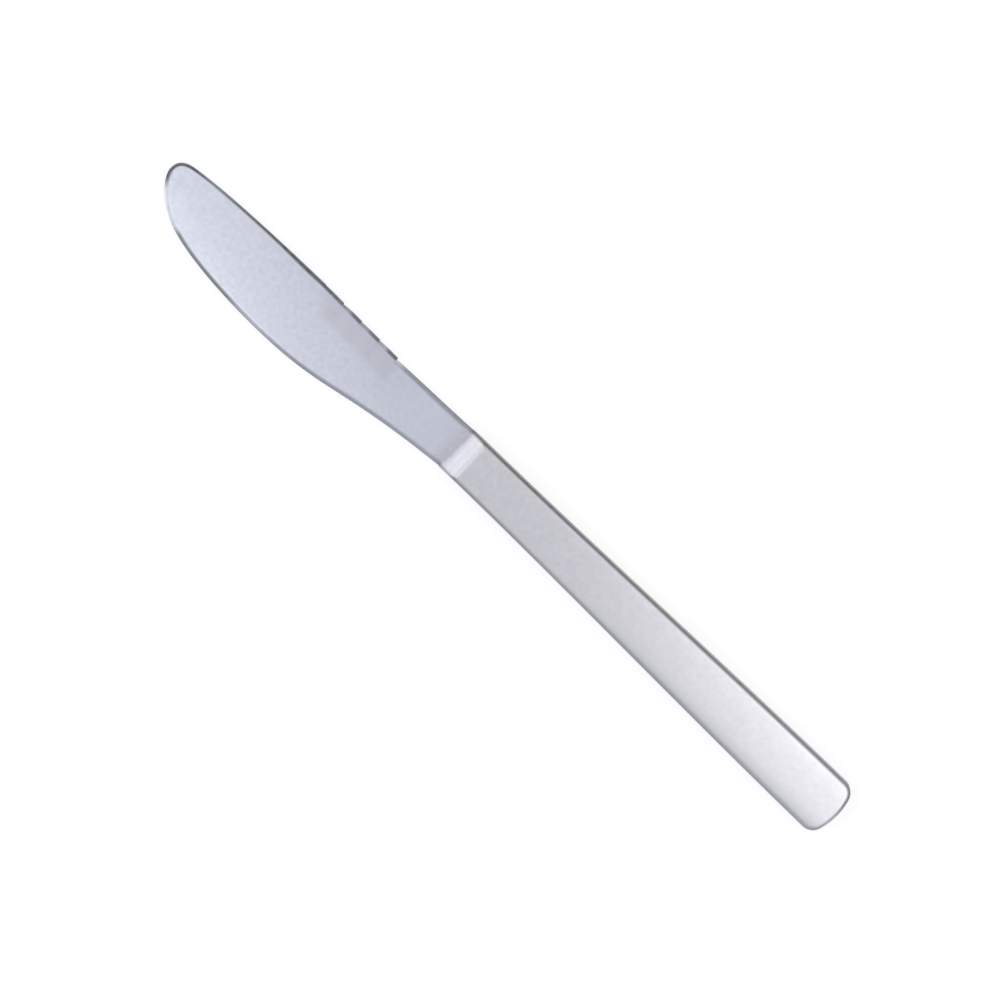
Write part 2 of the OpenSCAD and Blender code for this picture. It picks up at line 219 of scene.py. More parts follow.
# Mesh rows and columns, of the handle and then of the blade, with rows in order from the mouth
MOUTH_ROWS = 10
RAMP_ROWS = 34
SIDE_ROWS = 90
CORNER_ROWS = 24
END_ROWS = 16
ROLL_STEPS = 18
FACE_COLUMNS = 15
GROOVE_ROWS = 17
CHOIL_ROWS = 48
CREST_ROWS = 12
FLANK_ROWS = 15
EDGE_ROWS = 70
NOSE_ROWS = 40
RIM_STEPS = 10
BLADE_COLUMNS = 47
NOTCH_STEPS = 12
KEY_STEPS = 24

# Limits: rows kept apart and the least blend in millimetres, merging in metres, sharp edges in degrees
ROWS_APART = 1e-4
MIN_BLEND = 1e-6
MERGE_DISTANCE = 2e-7
SHELL_SHARP_ANGLE = 30.0
BLADE_SHARP_ANGLE = 13.0

# Sizes that follow from those above
NECK_HALF = NECK_W / 2
HANDLE_HALF = HANDLE_W / 2
HANDLE_TOP = HANDLE_T / 2
SIDE_TOP = HANDLE_TOP - ROLL_H
RAMP_ROWS_TO = 1.5 * RAMP_L
END_CENTRE = HANDLE_L - END_R
CORNER_Y = HANDLE_HALF - END_CORNER_R
CORNER_X = END_CENTRE + math.sqrt((END_R - END_CORNER_R) ** 2 - CORNER_Y**2)
END_TURN = math.atan2(CORNER_Y, CORNER_X - END_CENTRE)
NOSE_AT = BLADE_L - NOSE_L
TEETH_END = HEEL_AT + TOOTH_N * TOOTH_PITCH
TANG_T = ROOT_T - 2 * (GROOVE_D + SHOULDER_STEP)
SHOULDER_W = NECK_W - 2 * SHOULDER_INSET
SLOT_W = SHOULDER_W + 2 * SLEEVE_FILM
SLOT_T = TANG_T + 2 * SLEEVE_FILM
FOOT_TOP = SLOT_T / 2 + MOUTH_LIP


def mix(a, b, t):
    return a + (b - a) * t


def ease01(t):
    return (1 - np.cos(np.pi * np.clip(t, 0, 1))) / 2


def bell(t, at, width):
    return np.exp(-(((t - at) / width) ** 2))


def smooth_min(a, b, blend):
    h = np.clip(0.5 + (b - a) / (2 * blend), 0, 1)
    return mix(b, a, h) - blend * h * (1 - h)


def bezier(points, t):
    p = np.array(points, float)
    t = np.asarray(t, float)[..., None]
    return (1 - t) ** 3 * p[0] + 3 * (1 - t) ** 2 * t * p[1] + 3 * (1 - t) * t**2 * p[2] + t**3 * p[3]


def table(points, steps=400):
    """A curve as two columns, to look y up by x."""
    return bezier(points, np.linspace(0, 1, steps)).T


def arc(cx, cy, r, start, end, steps):
    """Points along a round stretch, without its first."""
    angles = np.linspace(start, end, steps + 1)[1:]
    return np.stack([cx + r * np.cos(angles), cy + r * np.sin(angles)], 1)


def between(first, second, count):
    """Evenly spaced rings of points from one ring to another, without either."""
    return [mix(first, second, k / (count + 1)) for k in range(1, count + 1)]


def quarter_turned(v):
    return np.stack([v[:, 1], -v[:, 0]], 1) / np.linalg.norm(v, axis=1)[:, None]


def inward_from(points, first, last):
    """Directions into the outline from each of its points, with its two ends given."""
    inward = quarter_turned(np.gradient(points, axis=0))
    inward[0] = first
    inward[-1] = last
    return inward


def mirrored(points, axis):
    flipped = points.copy()
    flipped[..., axis] *= -1
    return flipped


class Surface:
    """Collects grids of points as faces of one closed mesh."""

    # The rim and dull marks carry painted shade, the dull one also a duller ground finish on the blade
    MARKS = ("wear", "rim", "dull_and_shade")

    def __init__(self):
        self.points = []
        self.faces = []
        self.marks = {mark: [] for mark in self.MARKS}
        self.count = 0

    def add(self, grid, **marks):
        n, m = grid.shape[:2]
        index = np.arange(n * m).reshape(n, m) + self.count
        self.points.append(grid.reshape(-1, 3))
        for mark in self.MARKS:
            self.marks[mark].append(np.broadcast_to(marks.get(mark, 0.0), (n, m)).reshape(-1))
        self.count += n * m
        return index

    def skin(self, index, flip=False):
        a, b, c, d = index[:-1, :-1], index[:-1, 1:], index[1:, 1:], index[1:, :-1]
        quads = np.stack([a, d, c, b] if not flip else [a, b, c, d], -1).reshape(-1, 4)
        self.faces.extend(quads.tolist())

    def strip(self, first, second):
        self.skin(np.stack([first, second]))

    def build(self, name, sharp_angle, body="root"):
        """A mesh object at the part's origin, with points that coincide merged."""
        points = np.concatenate(self.points) * MM + np.array(MOUTH)
        mesh = bpy.data.meshes.new(name)
        mesh.from_pydata(points.tolist(), [], self.faces)
        for mark, values in self.marks.items():
            layer = mesh.attributes.new(mark, "FLOAT", "POINT")
            layer.data.foreach_set("value", np.concatenate(values).astype(np.float32))
        bm = bmesh.new()
        bm.from_mesh(mesh)
        bmesh.ops.remove_doubles(bm, verts=bm.verts, dist=MERGE_DISTANCE)
        bmesh.ops.recalc_face_normals(bm, faces=bm.faces)
        limit = math.radians(sharp_angle)
        for face in bm.faces:
            face.smooth = True
        for edge in bm.edges:
            edge.smooth = len(edge.link_faces) == 2 and edge.calc_face_angle(0) < limit
        bm.to_mesh(mesh)
        bm.free()
        piece = bpy.data.objects.new(name, mesh)
        bpy.context.scene.collection.objects.link(piece)
        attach(piece, body)
        return piece


# Handle

SIDE_TABLE = table([
    (0, NECK_HALF),
    (SIDE_RUN_SHARES[0] * CORNER_X, NECK_WAIST_SHARE * NECK_HALF),
    (SIDE_RUN_SHARES[1] * CORNER_X, HANDLE_HALF),
    (CORNER_X, HANDLE_HALF),
])


def handle_outline():
    """Distance from the mouth and half width, with two rows where the cavity starts."""
    places = np.concatenate([
        np.linspace(0, MOUTH_L, MOUTH_ROWS),
        np.linspace(MOUTH_L, RAMP_ROWS_TO, RAMP_ROWS),
        np.linspace(RAMP_ROWS_TO, CORNER_X, SIDE_ROWS)[1:],
    ])
    side = np.stack([places, np.interp(places, *SIDE_TABLE)], 1)
    corner = arc(CORNER_X, CORNER_Y, END_CORNER_R, math.pi / 2, END_TURN, CORNER_ROWS)
    end = arc(END_CENTRE, 0, END_R, END_TURN, 0, END_ROWS)
    return np.concatenate([side, corner, end])


def handle_inward(outline):
    """Directions into the handle's outline, with the two rows at one place told apart."""
    distinct = outline.copy()
    distinct[MOUTH_ROWS] += (ROWS_APART, 0)
    return inward_from(distinct, (0, -1), (-1, 0))


def ramp_top(x):
    """Height of the handle's face, which rises along the ramp from the mouth."""
    t = np.clip(x / RAMP_L, 0, 1)
    return mix(FOOT_TOP, HANDLE_TOP, t - np.sin(2 * np.pi * t) / (2 * np.pi))


def rolled(outline, inward, wall):
    """Rings of points up the side and over the rolled edge of one long side."""
    rings = []
    for turn in np.linspace(0, math.pi / 2, ROLL_STEPS + 1):
        inset = wall + (ROLL_W - wall) * (1 - math.cos(turn))
        height = SIDE_TOP + (ROLL_H - wall) * math.sin(turn)
        blend = CREST_BLEND * math.cos(turn) + MIN_BLEND
        p = outline + inward * inset
        z = smooth_min(np.full(len(p), height), ramp_top(p[:, 0]) - wall, blend)
        rings.append(np.column_stack([-p[:, 0], p[:, 1], z]))
    return rings


def across(side):
    """Both long sides and the flat between them, as one grid of rows."""
    low = [mirrored(ring, 1) for ring in side]
    return np.stack(low + between(low[-1], side[-1], FACE_COLUMNS) + side[::-1], 1)


def shell_outside(outline, inward):
    """Outer skin of one half: eased seam edge, side, rolled edge and a slightly crowned face."""
    side = rolled(outline, inward, 0)
    eased = outline + inward * SEAM_EASE
    seam = np.column_stack([-eased[:, 0], eased[:, 1], np.full(len(outline), SEAM_HALF)])
    foot = np.column_stack([side[0][:, :2], np.full(len(outline), SEAM_HALF + SEAM_EASE)])
    outside = across([seam, foot] + side)
    from_mouth = -outside[..., 0]
    beyond_ramp = ease01(from_mouth / RAMP_L / 2)
    towards_end = mix(ROOT_CROWN_SHARE, 1, ease01((from_mouth - CROWN_FROM) / CROWN_FADE))
    share = np.abs(outside[..., 1]) / HANDLE_HALF
    crown = FACE_CROWN * share**CROWN_POWER * beyond_ramp * towards_end
    outside[..., 2] -= crown * ease01((outside[..., 2] - SIDE_TOP) / ROLL_H)
    return outside


def shell_inside(outline, inward, outside):
    """Skin of the cavity, and of the slot through the front wall."""
    side = rolled(outline, inward, SHELL_WALL)
    foot = np.column_stack([side[0][:, :2], np.full(len(outline), SEAM_HALF)])
    inside = across([foot, foot] + side)
    slot = inside[:MOUTH_ROWS]
    slot[..., 0] = outside[:MOUTH_ROWS, :, 0]
    slot[..., 1] = np.clip(slot[..., 1], -SLOT_W / 2, SLOT_W / 2)
    slot[..., 2] = np.minimum(slot[..., 2], SLOT_T / 2)
    return inside


def shell_marks(outline, outside):
    """Worn ridges, painted shade on the rims along both sides and round the end, and painted shade on
    places of the face.
    """
    turn = np.linspace(0, 1, ROLL_STEPS + 1)
    ridge = np.concatenate([[0, 0], bell(turn, SHELL_RIDGE_AT, RIDGE_W)])
    wear = np.concatenate([ridge, np.zeros(FACE_COLUMNS), ridge[::-1]])
    far = outline[:, :1] / HANDLE_L
    round_end = ease01((CORNER_Y - outline[:, 1:]) / CORNER_Y) * (outline[:, :1] > CORNER_X)
    # Painted shade: the side walls darkened along both long sides and round the end
    edge_rim = np.concatenate([[1, 1], 1 - ease01((turn - EDGE_RIM_FROM) / EDGE_RIM_FADE)])
    edge_rim = edge_rim * mix(*EDGE_RIM_SHADES, far) * mix(1.0, EDGE_ROUND_END, round_end)
    spine_rim = np.concatenate([[1, 1], 1 - ease01((turn - SPINE_RIM_FROM) / SPINE_RIM_FADE)])
    spine_rim = spine_rim[::-1] * mix(*SPINE_RIM_SHADES, far) * mix(1.0, SPINE_ROUND_END, round_end)
    rim = np.concatenate([edge_rim, np.zeros((len(outline), FACE_COLUMNS)), spine_rim], 1)
    from_mouth = -outside[..., 0]
    # Painted shade: the face darker towards the spine side, at the ramp's foot and on its crest
    spine_side = ease01(outside[..., 1] / HANDLE_HALF / FACE_SHADE_SHARE - 1)
    face_shade = FACE_SHADE * spine_side * ease01((from_mouth - FACE_SHADE_FROM) / FACE_SHADE_FADE)
    foot_shade = 1 - ease01(from_mouth / RAMP_FOOT_SHADE_L)
    crest_shade = RAMP_CREST_SHADE * bell(from_mouth, RAMP_CREST_AT, RAMP_CREST_W)
    dull_and_shade = np.maximum.reduce([face_shade, foot_shade, crest_shade])
    return dict(wear=wear, rim=rim, dull_and_shade=dull_and_shade)


def handle_shell(name, side_sign):
    """One pressed half: outer skin, cavity, front wall with its slot, and seam faces."""
    outline = handle_outline()
    inward = handle_inward(outline)
    outside = shell_outside(outline, inward)
    inside = shell_inside(outline, inward, outside)
    marks = shell_marks(outline, outside)
    if side_sign < 0:
        outside, inside = mirrored(outside, 2), mirrored(inside, 2)
    surface = Surface()
    outer = surface.add(outside, **marks)
    inner = surface.add(inside)
    surface.skin(outer)
    surface.skin(inner, flip=True)
    surface.strip(outer[0], inner[0])
    surface.strip(outer[:, 0], inner[:, 0])
    surface.strip(outer[:, -1], inner[:, -1])
    return surface.build(name, SHELL_SHARP_ANGLE)


# Blade

SPINE_POINTS = [
    (0, NECK_HALF),
    (SPINE_RUN_SHARES[0] * BELLY_AT, mix(NECK_HALF, BELLY_REACH, SPINE_RISE_SHARE)),
    (SPINE_RUN_SHARES[1] * BELLY_AT, BELLY_REACH),
    (BELLY_AT, BELLY_REACH),
]
BELLY_POINTS = [
    (BELLY_AT, BELLY_REACH),
    (mix(BELLY_AT, NOSE_AT, BELLY_RUN_SHARES[0]), BELLY_REACH),
    (mix(BELLY_AT, NOSE_AT, BELLY_RUN_SHARES[1]), mix(BELLY_REACH, NOSE_BELLY_REACH, BELLY_FALL_SHARE)),
    (NOSE_AT, NOSE_BELLY_REACH),
]
NOSE_BELLY_POINTS = [
    (NOSE_AT, NOSE_BELLY_REACH),
    (
        mix(NOSE_AT, BLADE_L, NOSE_BELLY_RUN_SHARE),
        mix(NOSE_BELLY_REACH, -NOSE_REACH, NOSE_BELLY_FALL_SHARE),
    ),
    (BLADE_L, mix(-NOSE_REACH, NOSE_BELLY_REACH, NOSE_TANGENT_SHARE)),
    (BLADE_L, -NOSE_REACH),
]
NOSE_EDGE_POINTS = [
    (NOSE_AT, -NOSE_EDGE_REACH),
    (mix(NOSE_AT, BLADE_L, NOSE_EDGE_RUN_SHARE), -NOSE_EDGE_REACH * NOSE_EDGE_RISE_SHARE),
    (BLADE_L, -mix(NOSE_REACH, NOSE_EDGE_REACH, NOSE_EDGE_FALL_SHARE)),
    (BLADE_L, -NOSE_REACH),
]
EDGE_TABLE = table([
    (TEETH_END, EDGE_REACH),
    (mix(TEETH_END, NOSE_AT, EDGE_RUN_SHARES[0]), EDGE_REACH),
    (mix(TEETH_END, NOSE_AT, EDGE_RUN_SHARES[1]), mix(EDGE_REACH, NOSE_EDGE_REACH, EDGE_FALL_SHARE)),
    (NOSE_AT, NOSE_EDGE_REACH),
])
CHOIL_TABLE = table([
    (0, NECK_HALF),
    (CHOIL_RUN_SHARES[0] * HEEL_AT, mix(NECK_HALF, CHOIL_REACH, CHOIL_FALL_SHARES[0])),
    (CHOIL_RUN_SHARES[1] * HEEL_AT, mix(NECK_HALF, CHOIL_REACH, CHOIL_FALL_SHARES[1])),
    (HEEL_AT, CHOIL_REACH),
])
SPINE_TABLE = np.concatenate([table(SPINE_POINTS), table(BELLY_POINTS)[:, 1:]], 1)


def tooth_line(x):
    """How far the crests of the teeth lie from the handle's axis."""
    return mix(HEEL_REACH, EDGE_REACH, (x - HEEL_AT) / (TEETH_END - HEEL_AT))


def edge_line(x):
    """How far the edge lies from the handle's axis, without the cuts between the teeth."""
    return np.where(
        x < HEEL_AT,
        np.interp(x, *CHOIL_TABLE),
        np.where(x < TEETH_END, tooth_line(x), np.interp(x, *EDGE_TABLE)),
    )


def bevel_at(x):
    """Width of the ground bevel beyond the teeth."""
    belly_bevel = mix(BEVEL_W, TIP_BEVEL_W, ease01((x - TEETH_END) / BEVEL_FADE_L))
    return mix(TOOTH_BEVEL_W, belly_bevel, ease01((x - TEETH_END) / TOOTH_PITCH))


def blade_stations():
    """Along the cutting edge: x, y, depth of cut, width of bevel, share that is ground."""
    blunt = np.concatenate([
        np.linspace(0, GROOVE_L, GROOVE_ROWS),
        np.linspace(GROOVE_L, HEEL_AT - STEP_L, CHOIL_ROWS)[1:],
    ])
    rows = [(x, -np.interp(x, *CHOIL_TABLE), 0, TOOTH_BEVEL_W, 0) for x in blunt]
    flank_l = TOOTH_PITCH - TOOTH_CREST_L - STEP_L
    for tooth in range(TOOTH_N):
        start = HEEL_AT + tooth * TOOTH_PITCH
        for x in np.linspace(start, start + TOOTH_CREST_L, CREST_ROWS)[:-1]:
            rows.append((x, -tooth_line(x), 0, TOOTH_BEVEL_W, 1))
        for share in np.linspace(0, 1, FLANK_ROWS):
            x = start + TOOTH_CREST_L + flank_l * share
            cut = TOOTH_DEPTH * FLANK_DEPTH_SHARES[tooth] * share**FLANK_POWER
            rows.append((x, -tooth_line(x), cut, TOOTH_BEVEL_W, 1))
    for x in np.linspace(TEETH_END, NOSE_AT, EDGE_ROWS):
        rows.append((x, -np.interp(x, *EDGE_TABLE), 0, bevel_at(x), 1))
    for share in np.linspace(0, 1, NOSE_ROWS + 1)[1:]:
        x, y = bezier(NOSE_EDGE_POINTS, share)
        rows.append((x, y, 0, mix(TIP_BEVEL_W, BEVEL_W, share), 1))
    return np.array(rows, float)


def spine_outline(stations):
    """The spine row by row: beside each station, then round the nose to its foremost point."""
    side = stations[:-NOSE_ROWS, 0]
    return np.concatenate([
        np.column_stack([side, np.interp(side, *SPINE_TABLE)]),
        bezier(NOSE_BELLY_POINTS, np.linspace(0, 1, NOSE_ROWS + 1)[1:]),
    ])


def spine_ground_share(rows):
    """How far each row of the spine is ground: only the nose, up to its foremost point."""
    nose_share = (np.arange(rows) - (rows - NOSE_ROWS) + 1) / NOSE_ROWS
    return ease01((nose_share - NOSE_BLUNT_SHARE) / (1 - NOSE_BLUNT_SHARE))


def ground_share(x, y):
    """How far a place of the face lies inside the shallow ground hollow, from 0 to 1."""
    inward = y + edge_line(x)
    along = np.minimum(x - GRIND_FROM, GRIND_TO - GRIND_LEAN * inward - x)
    return ease01(along / GRIND_FADE) * ease01((GRIND_W - inward) / GRIND_FADE)


def face_half(p):
    """Half thickness of the blade at places of its face: a bulging wedge from spine to edge."""
    x, y = p[..., 0], p[..., 1]
    spine_reach = np.where(x < BELLY_AT, np.interp(x, *SPINE_TABLE), BELLY_REACH)
    spine = np.where(
        x < BELLY_AT,
        mix(ROOT_T, BELLY_T, x / BELLY_AT),
        mix(BELLY_T, NOSE_T, (x - BELLY_AT) / (BLADE_L - BELLY_AT)),
    ) / 2
    edge = mix(ROOT_T, EDGE_T, ease01(x / HEEL_AT)) / 2
    edge_reach = np.where(x < HEEL_AT, mix(NECK_HALF, HEEL_REACH, x / HEEL_AT), edge_line(x))
    share = np.clip((y + edge_reach) / (spine_reach + edge_reach), 0, 1)
    wedge = mix(edge, spine, 1 - (1 - share) ** BULGE_POWER)
    groove = GROOVE_D * (1 - np.clip(x / GROOVE_L, 0, 1)) ** 2
    beside_spine = np.clip(1 - (np.interp(x, *SPINE_TABLE) - y) / TIP_FALL_W, 0, 1)
    fall = TIP_FALL * ease01((x - NOSE_AT) / TIP_FALL_L + 1) * beside_spine**2
    return wedge - groove - fall - GRIND_D * ground_share(x, y)


def rim_rings(rim, inward, cut, bevel, ground):
    """From the rim inwards: an eased corner, or a ground bevel where the edge is sharp."""
    r = np.minimum(EASE_H, EASE_SHARE * face_half(rim))
    full = face_half(rim + inward * mix(EASE_W, bevel, ground)[:, None])
    rings = []
    for share in np.linspace(0, 1, RIM_STEPS + 1):
        turn = share * math.pi / 2
        d = mix(EASE_W * (1 - math.cos(turn)), mix(cut, bevel, share), ground)
        z = mix(full - r * (1 - math.sin(turn)), mix(LAND_T / 2, full, share), ground)
        p = rim + inward * d[:, None]
        rings.append(np.column_stack([p, z]))
    return rings


def blade_grid(stations, spine_rim, spine_ground):
    """Points of the blade's upper face, one row per station from the edge to the spine."""
    edge_rim = stations[:, :2]
    edge_inward = -inward_from(edge_rim, (0, -1), (1, 0))
    edge_inward[stations[:, 0] <= TEETH_END] = (0, 1)
    spine_inward = inward_from(spine_rim, (0, -1), (-1, 0))
    zero = np.zeros(len(stations))
    edge_rings = rim_rings(edge_rim, edge_inward, *stations[:, 2:].T)
    spine_rings = rim_rings(spine_rim, spine_inward, zero, zero + BEVEL_W, spine_ground)
    places = between(edge_rings[-1][:, :2], spine_rings[-1][:, :2], BLADE_COLUMNS)
    columns = [np.column_stack([p, face_half(p)]) for p in places]
    return np.stack(edge_rings + columns + spine_rings[::-1], 1)


def edge_shade(x):
    """How dark the painted shade on the ground edge is: the crests of the teeth and the belly beyond
    them most.
    """
    tooth, share = np.divmod((x - HEEL_AT) / TOOTH_PITCH, 1)
    flank = np.interp(tooth, range(TOOTH_N), FLANK_SHADES)
    teeth = mix(CREST_SHADE, flank, ease01((share - FLANK_SHADE_FROM) / FLANK_SHADE_FADE))
    return np.where(x < TEETH_END, teeth, np.interp(x, *EDGE_SHADES))


def spine_shade(rim):
    """How dark the painted shade on the eased spine is, and on the nose from its foremost point round to
    the belly.
    """
    nose = mix(1.0, NOSE_SHADE, ease01((rim[:, 1] - NOSE_FADE_FROM) / NOSE_FADE))
    return np.where(rim[:, 0] > NOSE_AT, nose, np.interp(rim[:, 0], *SPINE_SHADES))


def blade_marks(grid, stations, spine_rim, spine_ground):
    """Worn ridges, painted shade on the rims of the edge and the spine, and darker places of the face: a
    duller ground finish, painted shade in the groove, darker towards the root.
    """
    turn = np.linspace(0, 1, RIM_STEPS + 1)
    ridge = bell(turn, BLADE_RIDGE_AT, RIDGE_W)
    wear = np.concatenate([ridge, np.zeros(BLADE_COLUMNS), ridge[::-1]])
    at = stations[:, :1]
    # Painted shade on the rims: darker edge and spine walls along the blade and round the nose
    eased_rim_shade = 1 - ease01((turn - EASED_RIM_FROM) / EASED_RIM_FADE)
    bevel_rim_shade = np.interp(turn, *BEVEL_SHADES)
    choil_rim_shade = CHOIL_SHADE * eased_rim_shade * ease01((HEEL_AT - at) / CHOIL_FADE)
    edge_shade_mark = mix(choil_rim_shade, bevel_rim_shade * edge_shade(at), stations[:, 4:])
    spine_shade_mark = mix(eased_rim_shade, bevel_rim_shade, spine_ground[:, None]) * spine_shade(spine_rim)[:, None]
    middle = np.zeros((len(stations), BLADE_COLUMNS))
    rim = np.concatenate([edge_shade_mark, middle, spine_shade_mark[:, ::-1]], 1)
    x, y = grid[..., 0], grid[..., 1]
    # A duller finish in the ground hollow, painted shade in the groove at the mouth, and darker towards
    # the root on the edge side
    scallop = 1 - SCALLOP + SCALLOP * np.cos(2 * np.pi * (x - HEEL_AT) / TOOTH_PITCH)
    groove_shade = GROOVE_SHADE * np.clip(1 - x / GROOVE_L, 0, 1)
    along_root = ease01((ROOT_DARKENING_TO - x) / ROOT_DARKENING_FADE)
    root_darkening = ROOT_DARKENING * along_root * ease01((NECK_W - y) / NECK_W / ROOT_DARKENING_SPREAD)
    dull_and_shade = np.maximum.reduce([scallop * ground_share(x, y), groove_shade, root_darkening])
    return dict(wear=wear, rim=rim, dull_and_shade=dull_and_shade)


def tang_outline():
    """Half of the shoulder's and tang's outline on the +y side, from blade to end."""
    half = TANG_W / 2
    points = [(ROOT_OVER, SHOULDER_W / 2), (-SHOULDER_L, SHOULDER_W / 2), (-SHOULDER_L, half)]
    for i in range(1, NOTCH_N + 1):
        centre = -SHOULDER_L - i * NOTCH_PITCH
        for angle in np.linspace(0, math.pi, NOTCH_STEPS + 1):
            points.append((centre + NOTCH_D / 2 * math.cos(angle), half - NOTCH_D / 2 * math.sin(angle)))
    for angle in np.linspace(math.pi / 2, math.pi, NOTCH_STEPS + 1):
        points.append((half - TANG_L + half * math.cos(angle), half * math.sin(angle)))
    return points


def tang_mesh(bm):
    """Adds the notched tang with its keying hole to a mesh, in millimetres."""
    half = tang_outline()
    ring = half + [(x, -y) for x, y in half[-2::-1]]
    hole = [
        (TANG_W - TANG_L + KEY_D / 2 * math.cos(a), KEY_D / 2 * math.sin(a))
        for a in np.linspace(0, 2 * math.pi, KEY_STEPS + 1)[:-1]
    ]
    edges = []
    for loop in (ring, hole):
        verts = [bm.verts.new((x, y, TANG_T / 2)) for x, y in loop]
        edges += [bm.edges.new((verts[i - 1], verts[i])) for i in range(len(verts))]
    top = bmesh.ops.triangle_fill(bm, edges=edges, use_beauty=True)
    faces = [g for g in top["geom"] if isinstance(g, bmesh.types.BMFace)]
    swept = bmesh.ops.extrude_face_region(bm, geom=faces, use_keep_orig=True)
    for g in swept["geom"]:
        if isinstance(g, bmesh.types.BMVert):
            g.co.z = -TANG_T / 2


def blade_piece():
    """The forged blade, alike above and below, with its tang."""
    stations = blade_stations()
    spine_rim = spine_outline(stations)
    spine_ground = spine_ground_share(len(stations))
    grid = blade_grid(stations, spine_rim, spine_ground)
    marks = blade_marks(grid, stations, spine_rim, spine_ground)
    surface = Surface()
    top = surface.add(grid, **marks)
    below = surface.add(mirrored(grid, 2), **marks)
    surface.skin(top)
    surface.skin(below, flip=True)
    surface.strip(top[0], below[0])
    surface.strip(top[:, 0], below[:, 0])
    surface.strip(top[:, -1], below[:, -1])
    piece = surface.build("blade_forging", BLADE_SHARP_ANGLE)
    bm = bmesh.new()
    tang_mesh(bm)
    bmesh.ops.scale(bm, vec=(MM, MM, MM), verts=bm.verts)
    bmesh.ops.translate(bm, vec=MOUTH, verts=bm.verts)
    bmesh.ops.recalc_face_normals(bm, faces=bm.faces)
    bm.from_mesh(piece.data)
    bm.to_mesh(piece.data)
    bm.free()
    return piece


# Materials

# Colours, and how far the table is lifted towards white
BLADE_LIGHT = (0.71, 0.725, 0.795)
BLADE_DARK = (0.628, 0.647, 0.714)
# A duller ground finish, mixed with painted shade in the groove
BLADE_DULL_AND_SHADE = (0.575, 0.571, 0.626)
# Painted shade for the blade's side walls
BLADE_RIM_SHADE = (0.09, 0.09, 0.086)
HANDLE_LIGHT = (0.746, 0.731, 0.767)
HANDLE_DARK = (0.682, 0.668, 0.703)
# Painted shade for the handle's face and ramp
HANDLE_PAINTED_SHADE = (0.56, 0.565, 0.62)
# Painted shade for the handle's side walls
HANDLE_RIM_SHADE = (0.145, 0.127, 0.119)
BRAZE_DARK = (0.55, 0.49, 0.38)
BRAZE_LIGHT = (0.64, 0.60, 0.50)
CEMENT_DARK = (0.30, 0.28, 0.25)
CEMENT_LIGHT = (0.46, 0.44, 0.40)
FLOOR_DARK = (0.29, 0.29, 0.29)
FLOOR_LIGHT = (0.31, 0.31, 0.31)
FLOOR_LIFT = 0.77

# Scales of the textures, per metre: the grains along x, y and z, and the rest alike all round
LONG_GRAIN = (150, 9000, 9000)
SHORT_GRAIN = (500, 5200, 5200)
MOTTLE_SCALE = 800.0
HAZE_SCALE = 32.0
BRAZE_SCALE = 900.0
SAND_SCALE = 1800.0
PORE_SCALE = 700.0
FLOOR_SCALE = 2500.0

# Steel: shares of its noises, the least that they leave of a mark, roughness with what each cause
# adds, and heights of the bumps in metres
LONG_GRAIN_SHARE = 0.6
MOTTLE_SHARE = 0.92
DULL_AND_SHADE_FLOOR = 0.35
RIM_SHADE_FLOOR = 0.8
STEEL_ROUGHNESS = 0.30
GRAIN_ROUGHNESS = 0.035
HAZE_ROUGHNESS = 0.01
WEAR_ROUGHNESS = -0.03
RIM_ROUGHNESS = 0.08
ANISOTROPY = 0.35
GRAIN_HEIGHT = 4e-6
MOTTLE_HEIGHT = 1e-5

# Braze and cement: roughness, and heights of the bumps in metres
BRAZE_ROUGHNESS = (0.32, 0.5)
BRAZE_HEIGHT = 1e-5
CEMENT_ROUGHNESS = 0.9
SAND_HEIGHT = 4e-5
PORE_HEIGHT = 5e-5

# Sockets of the colour mix node
MIX_SHARE, MIX_FIRST, MIX_SECOND, MIX_RESULT = 0, 6, 7, 2


